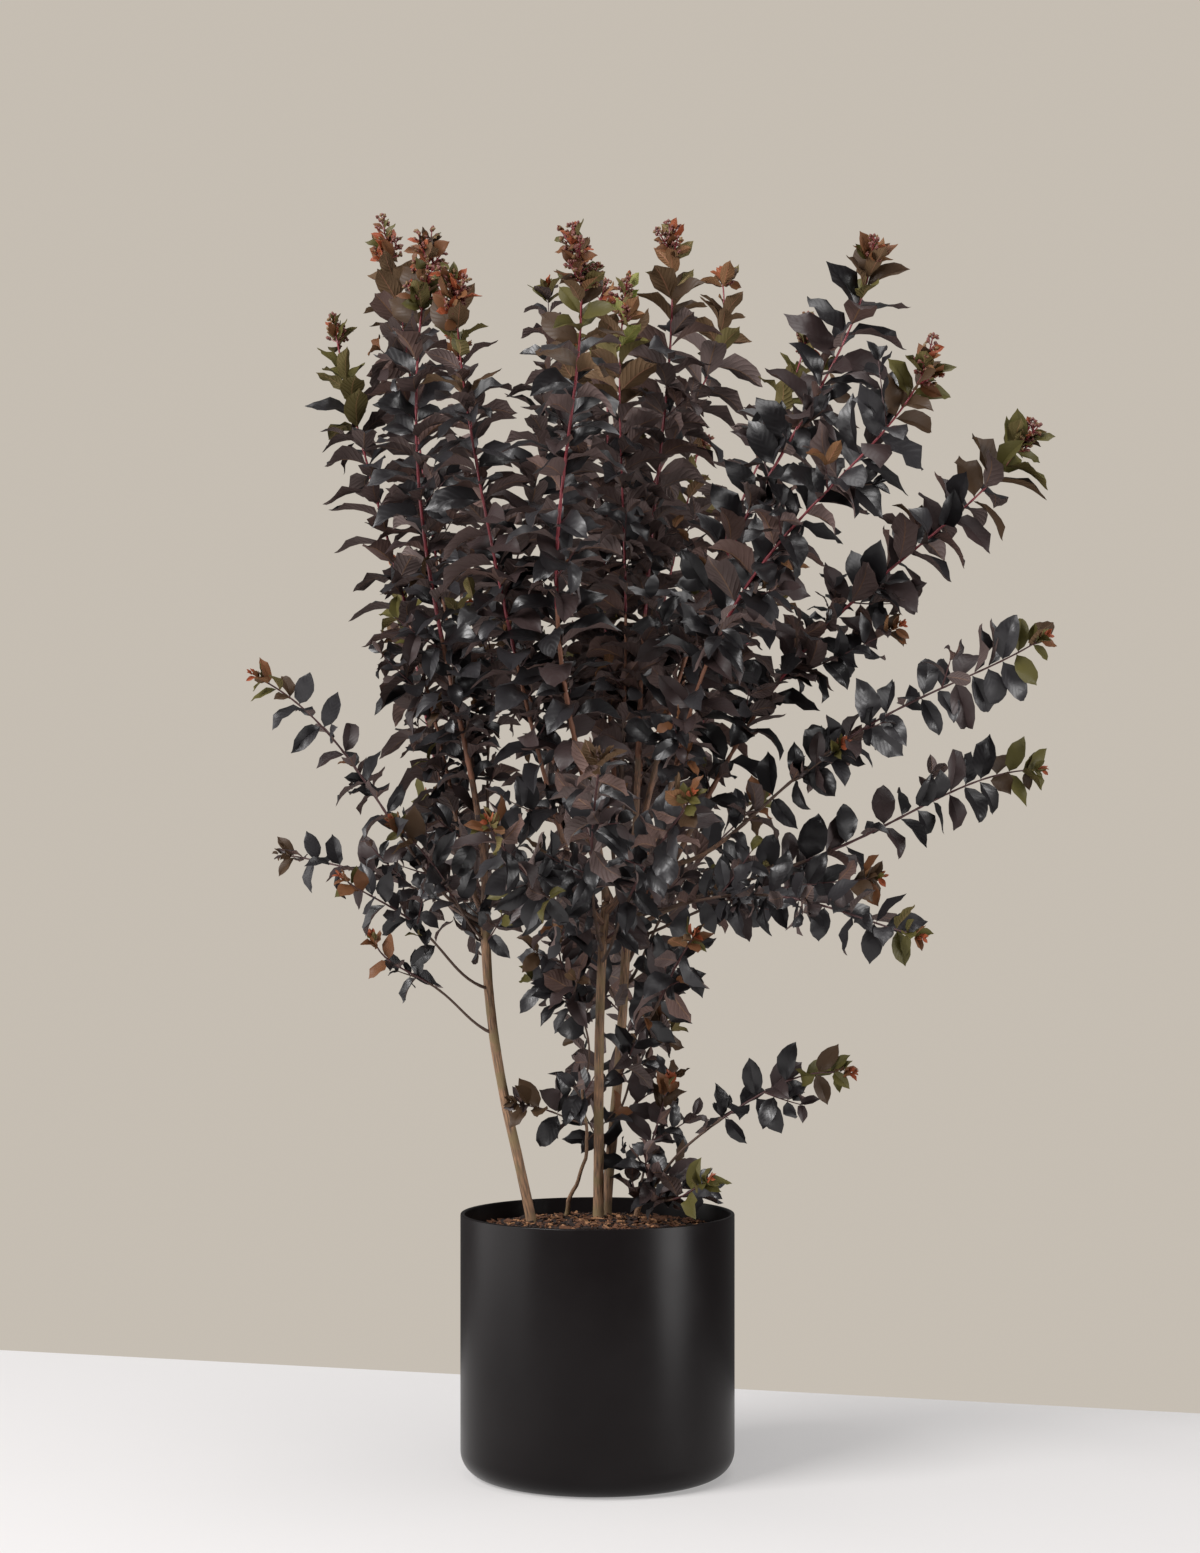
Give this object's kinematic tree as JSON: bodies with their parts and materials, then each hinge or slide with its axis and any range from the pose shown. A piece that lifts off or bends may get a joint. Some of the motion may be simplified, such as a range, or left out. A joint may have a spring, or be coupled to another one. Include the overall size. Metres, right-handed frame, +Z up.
{
  "type": "potted crape myrtle shrub",
  "caption": "Dark-leaved crape myrtle with slender leafy shoots on tall bare stems, growing in a plain charcoal cylinder planter",
  "frame": {"origin": "centre of the planter's flat underside, where it stands on the floor", "axes": "+Z up along the planter's axis, +X to the plant's right as seen from its front, +Y away from the viewer toward its back"},
  "size_m": [1.0712, 0.9525, 1.6752],
  "materials": {
    "planter": "satin",
    "potting_mix": "matte",
    "stem_wood": "matte",
    "bough_wood": "matte",
    "foliage": "satin"
  },
  "bodies": {
    "root": {"planter": "planter", "potting_mix": "potting_mix", "stem_back": "stem_wood", "stem_centre": "stem_wood", "stem_crooked_sucker": "stem_wood", "stem_left": "stem_wood", "stem_right_sucker": "stem_wood", "bough_back_left": "bough_wood", "bough_back_right": "bough_wood", "bough_centre_leader": "bough_wood", "bough_centre_left": "bough_wood", "bough_left_leader": "bough_wood", "bough_left_outer": "bough_wood", "bough_rear_left": "bough_wood", "bough_right_leader": "bough_wood", "bough_right_long": "bough_wood", "bough_right_low": "bough_wood", "bough_right_middle": "bough_wood", "bough_right_second": "bough_wood", "foliage_back_bent": "foliage", "foliage_back_gold": "foliage", "foliage_back_left": "foliage", "foliage_back_right": "foliage", "foliage_centre_leader": "foliage", "foliage_centre_left": "foliage", "foliage_crooked_side": "foliage", "foliage_crooked_top": "foliage", "foliage_front": "foliage", "foliage_front_left": "foliage", "foliage_front_right": "foliage", "foliage_left_arm": "foliage", "foliage_left_inner": "foliage", "foliage_left_leader": "foliage", "foliage_left_low_back": "foliage", "foliage_left_low_front": "foliage", "foliage_left_lowest": "foliage", "foliage_left_outer": "foliage", "foliage_left_short": "foliage", "foliage_left_tuft": "foliage", "foliage_low_right_tuft": "foliage", "foliage_rear": "foliage", "foliage_rear_far_left": "foliage", "foliage_rear_far_right": "foliage", "foliage_rear_left": "foliage", "foliage_rear_low": "foliage", "foliage_rear_low_left": "foliage", "foliage_rear_low_right": "foliage", "foliage_rear_right": "foliage", "foliage_right_drooping": "foliage", "foliage_right_front_low": "foliage", "foliage_right_inner": "foliage", "foliage_right_leader": "foliage", "foliage_right_long": "foliage", "foliage_right_low": "foliage", "foliage_right_middle": "foliage", "foliage_right_second": "foliage", "foliage_right_small": "foliage", "foliage_right_sucker_arm": "foliage", "foliage_right_sucker_tuft": "foliage", "foliage_upright_sucker": "foliage"}
  },
  "joints": []
}
